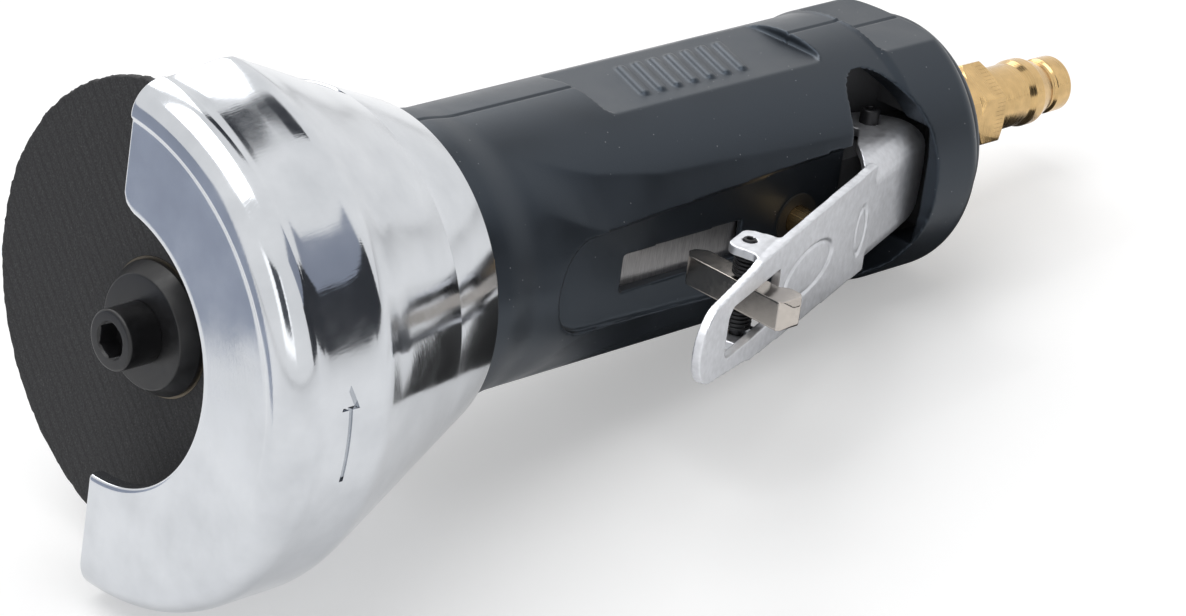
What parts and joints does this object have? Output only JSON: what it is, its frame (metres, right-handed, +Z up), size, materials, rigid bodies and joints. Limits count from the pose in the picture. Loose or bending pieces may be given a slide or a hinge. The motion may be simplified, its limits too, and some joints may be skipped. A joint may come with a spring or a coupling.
{
  "type": "pneumatic cut off tool",
  "caption": "Straight air powered cut off tool with a disc in a half bell guard, a sleeved grip, a side throttle lever with safety lock and a rear air plug.",
  "frame": {"origin": "on the bench, under the middle of the tool's bounding box, as it lies on its guard and its rear ring", "axes": "+X to the rear along the tool, seen from above, +Z up, -Y the side of the throttle lever; the spindle dips to the rear by about 7 degrees"},
  "size_m": [0.2167, 0.0858, 0.0839],
  "materials": {
    "disc": "coarse matte abrasive",
    "disc_ring": "thin pressed metal",
    "black_oxide": "black oxide, satin",
    "dark_steel": "satin",
    "steel": "ground",
    "vane": "matte",
    "brass": "turned",
    "guard": "polished casting",
    "housing": "brushed",
    "grip": "matte",
    "felt": "felt",
    "cover": "matte",
    "inlet": "turned",
    "lever": "satin plated",
    "lock": "satin plated",
    "seal": "matte"
  },
  "bodies": {
    "housing": {"motor_housing": "housing", "grip": "grip", "muffler_felt": "felt", "exhaust_cover": "cover", "inlet_bush": "inlet", "inlet_screen": "brass", "air_plug": "brass", "front_end_plate": "dark_steel", "rear_end_plate": "dark_steel", "cylinder_liner": "steel", "cylinder_dowel": "steel", "clamp_nut": "dark_steel", "front_bearing_outer": "steel", "rear_bearing_outer": "steel", "lever_pin": "black_oxide", "valve_bush": "brass", "valve_plug": "dark_steel", "valve_spring": "steel"},
    "guard": {"guard": "guard", "guard_grub_screw": "black_oxide"},
    "spindle": {"rotor": "steel", "rotor_vanes": "vane", "cutting_disc": "disc", "disc_ring": "disc_ring", "outer_flange": "black_oxide", "inner_flange": "dark_steel", "disc_screw": "black_oxide", "front_bearing_inner": "steel", "rear_bearing_inner": "steel"},
    "front_ball_set": {"front_bearing_balls": "steel", "front_bearing_cage": "brass"},
    "rear_ball_set": {"rear_bearing_balls": "steel", "rear_bearing_cage": "brass"},
    "lever": {"throttle_lever": "lever", "lock_pin": "black_oxide", "lock_spring": "black_oxide"},
    "lock": {"lock_catch": "lock"},
    "valve": {"valve_stem": "brass", "valve_seal": "seal"}
  },
  "joints": [
    {"name": "spindle_spin", "type": "hinge", "parent": "housing", "child": "spindle", "pos_m": [-0.09355, 0.00545, 0.04214], "axis": [0.9922, 0, -0.125], "continuous": true},
    {"name": "front_cage_spin", "type": "hinge", "parent": "housing", "child": "front_ball_set", "pos_m": [-0.06576, 0.00545, 0.03864], "axis": [0.9922, 0, -0.125], "continuous": true},
    {"name": "rear_cage_spin", "type": "hinge", "parent": "housing", "child": "rear_ball_set", "pos_m": [-0.00623, 0.00545, 0.03114], "axis": [0.9922, 0, -0.125], "continuous": true},
    {"name": "guard_turn", "type": "hinge", "parent": "housing", "child": "guard", "pos_m": [-0.05783, 0.00545, 0.03764], "axis": [0.9922, 0, -0.125], "range_deg": [-90, 90]},
    {"name": "lever_press", "type": "hinge", "parent": "housing", "child": "lever", "pos_m": [0.04437, -0.00685, 0.02477], "axis": [-0.125, 0, -0.9922], "range_deg": [0, 10], "stiffness_Nm_per_rad": 1.5, "springref_deg": -17.19},
    {"name": "lock_swing", "type": "hinge", "parent": "lever", "child": "lock", "pos_m": [-0.0063, -0.02905, 0.03115], "axis": [-0.125, 0, -0.9922], "range_deg": [0, 50.5]},
    {"name": "valve_slide", "type": "slide", "parent": "housing", "child": "valve", "axis": [0, 1, 0], "range_m": [0, 0.00455], "deforming": ["valve_spring"]}
  ],
  "couplings": [
    {"joint": "front_cage_spin", "follows": "spindle_spin", "ratio": 0.36778},
    {"joint": "rear_cage_spin", "follows": "spindle_spin", "ratio": 0.36},
    {"joint": "lock_swing", "follows": "lever_press", "ratio": 5},
    {"joint": "valve_slide", "follows": "lever_press", "m_per_rad": 0.025798}
  ]
}
